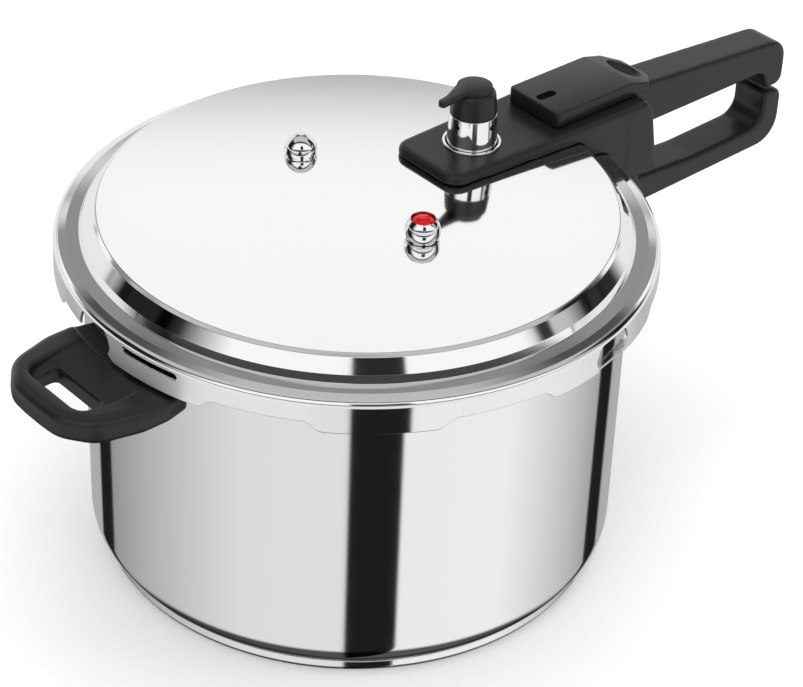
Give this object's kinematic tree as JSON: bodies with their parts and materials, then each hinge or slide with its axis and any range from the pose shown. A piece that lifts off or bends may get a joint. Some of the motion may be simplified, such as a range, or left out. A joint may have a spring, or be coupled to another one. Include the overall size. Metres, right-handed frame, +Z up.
{
  "type": "pressure canner",
  "caption": "Stovetop pressure canner in polished steel with a bayonet lid, a long double handle with a sliding lock, a side handle, a pressure regulator with a selector and a pop-up indicator.",
  "frame": {"origin": "centre of the base's underside, on the table", "axes": "+Z up, +X along the long handle, the side handle towards -X"},
  "size_m": [0.5135, 0.311, 0.2393],
  "materials": {
    "polished_steel": "mirror-polished stainless sheet",
    "aluminium": "plain pressed aluminium",
    "plain_steel": "plain stainless, as stamped or turned",
    "screw_steel": "bright zinc-plated screws",
    "spring_steel": "drawn spring wire",
    "black_plastic": "satin black phenolic moulding",
    "silicone": "smooth pale silicone",
    "brass": "turned brass",
    "red_enamel": "glossy red cap"
  },
  "bodies": {
    "pot": {"pot_shell": "polished_steel", "base_core": "aluminium", "base_cap": "polished_steel", "lower_handle_bracket": "plain_steel", "lower_handle": "black_plastic", "lower_handle_screw": "screw_steel", "side_handle_bracket": "plain_steel", "side_handle": "black_plastic", "side_handle_screw": "screw_steel"},
    "sealing_ring": {"gasket": "silicone"},
    "lid": {"lid_shell": "polished_steel", "lid_bracket": "plain_steel", "upper_handle": "black_plastic", "upper_handle_screws": "screw_steel", "regulator_ring": "polished_steel", "vent_pipe": "plain_steel", "vent_washer": "silicone", "vent_nut": "plain_steel", "vent_shield": "plain_steel", "safety_seat": "plain_steel", "safety_washer": "silicone", "safety_nut": "plain_steel", "safety_dome": "polished_steel", "safety_spring": "spring_steel", "indicator_ball": "polished_steel", "indicator_seal": "silicone", "indicator_nut": "plain_steel"},
    "lock": {"lock_button": "black_plastic", "lock_bar": "plain_steel", "lock_screws": "screw_steel"},
    "regulator": {"regulator_sleeve": "polished_steel", "regulator_weight": "brass", "regulator_spring": "spring_steel"},
    "selector": {"selector_cap": "black_plastic", "selector_screw": "screw_steel"},
    "indicator": {"indicator_float": "red_enamel", "indicator_clip": "plain_steel"},
    "safety_piston": {"safety_piston": "brass"}
  },
  "joints": [
    {"name": "lid_lift", "type": "slide", "parent": "pot", "child": "sealing_ring", "axis": [0, 0, 1], "range_m": [0, 0.21]},
    {"name": "lid_turn", "type": "hinge", "parent": "sealing_ring", "child": "lid", "pos_m": [0, 0, 0.18], "axis": [0, 0, 1], "range_deg": [0, 24]},
    {"name": "lock_slide", "type": "slide", "parent": "lid", "child": "lock", "axis": [-1, 0, 0], "range_m": [0, 0.006]},
    {"name": "regulator_lift", "type": "slide", "parent": "lid", "child": "regulator", "axis": [0, 0, 1], "range_m": [0, 0.025]},
    {"name": "selector_turn", "type": "hinge", "parent": "regulator", "child": "selector", "pos_m": [0.077, 0, 0.24], "axis": [0, 0, 1], "range_deg": [-90, 90]},
    {"name": "indicator_rise", "type": "slide", "parent": "lid", "child": "indicator", "axis": [0, 0, 1], "range_m": [0, 0.004]},
    {"name": "safety_lift", "type": "slide", "parent": "lid", "child": "safety_piston", "axis": [0, 0, 1], "range_m": [0, 0.002], "stiffness_N_per_m": 2500, "springref_m": -0.002, "deforming": ["safety_spring"]}
  ]
}
